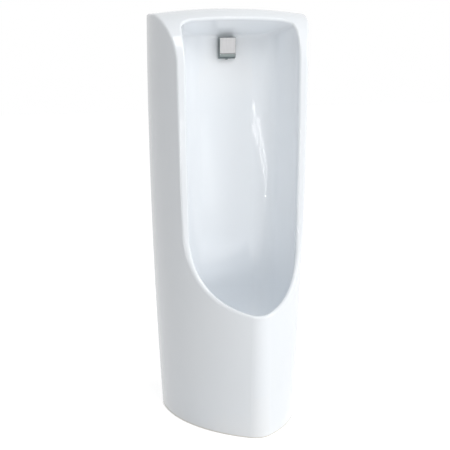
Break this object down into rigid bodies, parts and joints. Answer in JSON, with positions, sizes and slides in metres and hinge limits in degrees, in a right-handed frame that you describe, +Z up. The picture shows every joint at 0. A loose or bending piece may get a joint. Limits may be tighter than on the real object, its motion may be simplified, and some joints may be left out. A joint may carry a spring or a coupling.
{
  "type": "floor-standing urinal",
  "caption": "Tall white vitreous china urinal that stands on the floor against a wall, with an open tapering bowl, a flush spreader and a lift-out bell trap.",
  "frame": {"origin": "on the floor under the middle of the body's depth and width", "axes": "+Z up, -Y towards the user, the back against the wall at +Y"},
  "size_m": [0.3868, 0.305, 1],
  "materials": {
    "white_china": "gloss",
    "chrome_trim": "polished",
    "brass_fitting": "satin",
    "black_rubber": "matte",
    "grey_plastic": "satin",
    "galvanised_steel": "satin"
  },
  "bodies": {
    "urinal": {"china_body": "white_china", "spreader_cover": "chrome_trim", "spreader_body": "brass_fitting", "spreader_cap_screw": "chrome_trim", "spreader_front_gasket": "black_rubber", "spreader_rear_washer": "black_rubber", "spreader_lock_nut": "brass_fitting", "waste_body": "chrome_trim", "waste_seal_ring": "black_rubber", "waste_lower_gasket": "black_rubber", "waste_washer": "grey_plastic", "waste_lock_nut": "brass_fitting", "trap_cup": "grey_plastic", "trap_seal_ring": "black_rubber", "outlet_union_nut": "grey_plastic", "union_seal_ring": "black_rubber", "outlet_pipe": "grey_plastic", "floor_flange": "grey_plastic", "floor_flange_seal": "black_rubber", "wall_hanger_left": "galvanised_steel", "wall_hanger_right": "galvanised_steel", "hanger_pad_left": "black_rubber", "hanger_pad_right": "black_rubber"},
    "strainer": {"strainer_plate": "chrome_trim", "bell_screw": "chrome_trim", "trap_bell": "grey_plastic"}
  },
  "joints": [
    {"name": "strainer_lift", "type": "slide", "parent": "urinal", "child": "strainer", "axis": [0, 0, 1], "range_m": [0, 0.1]}
  ]
}
